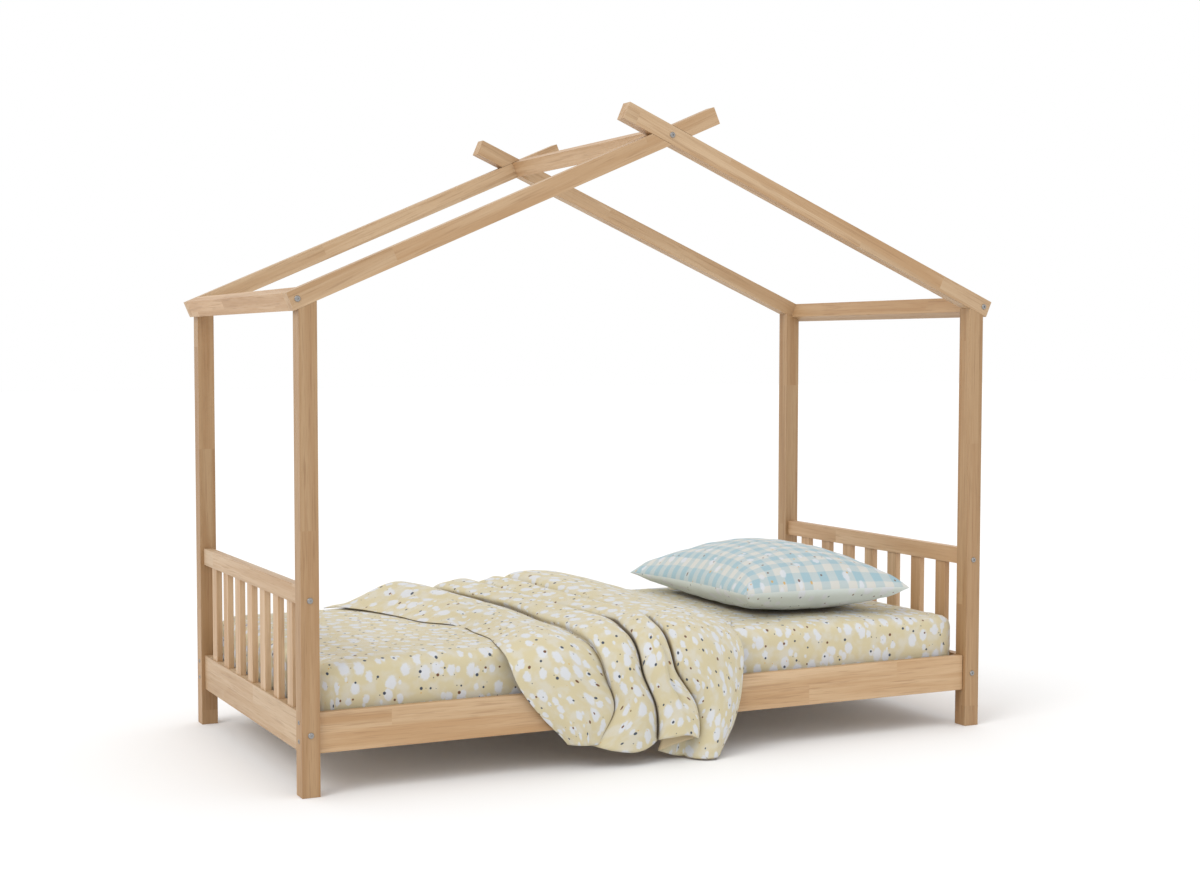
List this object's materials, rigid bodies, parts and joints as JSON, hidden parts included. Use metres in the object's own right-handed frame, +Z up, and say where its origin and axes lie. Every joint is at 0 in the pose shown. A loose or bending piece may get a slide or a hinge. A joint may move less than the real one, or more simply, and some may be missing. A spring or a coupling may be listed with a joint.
{
  "type": "house frame bed",
  "caption": "Timber house-shaped single bed with pitched open roof frame, slatted ends and base, mattress, pillow and loose blanket.",
  "frame": {"origin": "on the floor, under the middle of the object's whole box", "axes": "+X along the bed towards the pillow end, -Y out of the long side that the blanket falls over, +Z up"},
  "size_m": [2.037, 1.0196, 1.6808],
  "materials": {
    "frame_wood": "satin clear lacquer over finger-jointed light hardwood",
    "base_wood": "unfinished sawn softwood",
    "bolt_steel": "zinc-plated, dull",
    "mattress_sheet": "matt plain-weave cotton, pale yellow with white blobs",
    "blanket_print": "matt plain-weave cotton, pale yellow with white blobs",
    "pillow_gingham": "matt plain-weave cotton, pale blue and white gingham"
  },
  "bodies": {
    "frame": {"post_foot_front": "frame_wood", "post_foot_back": "frame_wood", "post_head_front": "frame_wood", "post_head_back": "frame_wood", "foot_lower_rail": "frame_wood", "foot_top_rail": "frame_wood", "foot_slat_1": "frame_wood", "foot_slat_2": "frame_wood", "foot_slat_3": "frame_wood", "foot_slat_4": "frame_wood", "foot_slat_5": "frame_wood", "foot_slat_6": "frame_wood", "foot_slat_7": "frame_wood", "head_lower_rail": "frame_wood", "head_top_rail": "frame_wood", "head_slat_1": "frame_wood", "head_slat_2": "frame_wood", "head_slat_3": "frame_wood", "head_slat_4": "frame_wood", "head_slat_5": "frame_wood", "head_slat_6": "frame_wood", "head_slat_7": "frame_wood", "side_rail_front": "frame_wood", "side_rail_back": "frame_wood", "ledger_front": "base_wood", "ledger_back": "base_wood", "base_slat_1": "base_wood", "base_slat_2": "base_wood", "base_slat_3": "base_wood", "base_slat_4": "base_wood", "base_slat_5": "base_wood", "base_slat_6": "base_wood", "base_slat_7": "base_wood", "base_slat_8": "base_wood", "base_slat_9": "base_wood", "base_slat_10": "base_wood", "rafter_foot_front": "frame_wood", "rafter_foot_back": "frame_wood", "rafter_head_front": "frame_wood", "rafter_head_back": "frame_wood", "eave_beam_foot": "frame_wood", "eave_beam_head": "frame_wood", "ridge_beam": "frame_wood", "bolt_lower_foot_front": "bolt_steel", "bolt_lower_foot_back": "bolt_steel", "bolt_lower_head_front": "bolt_steel", "bolt_lower_head_back": "bolt_steel", "bolt_upper_foot_front": "bolt_steel", "bolt_upper_foot_back": "bolt_steel", "bolt_upper_head_front": "bolt_steel", "bolt_upper_head_back": "bolt_steel", "bolt_eave_foot_front": "bolt_steel", "bolt_eave_foot_back": "bolt_steel", "bolt_eave_head_front": "bolt_steel", "bolt_eave_head_back": "bolt_steel", "bolt_ridge_front": "bolt_steel", "bolt_ridge_back": "bolt_steel"},
    "mattress": {"mattress": "mattress_sheet"},
    "pillow": {"pillow": "pillow_gingham"},
    "blanket": {"blanket": "blanket_print"}
  },
  "joints": [
    {"name": "mattress_lift", "type": "slide", "parent": "frame", "child": "mattress", "axis": [0, 0, 1], "range_m": [0, 0.25]},
    {"name": "pillow_lift", "type": "slide", "parent": "mattress", "child": "pillow", "axis": [0, 0, 1], "range_m": [0, 0.35]},
    {"name": "blanket_lift", "type": "slide", "parent": "mattress", "child": "blanket", "axis": [0, 0, 1], "range_m": [0, 0.35]}
  ]
}
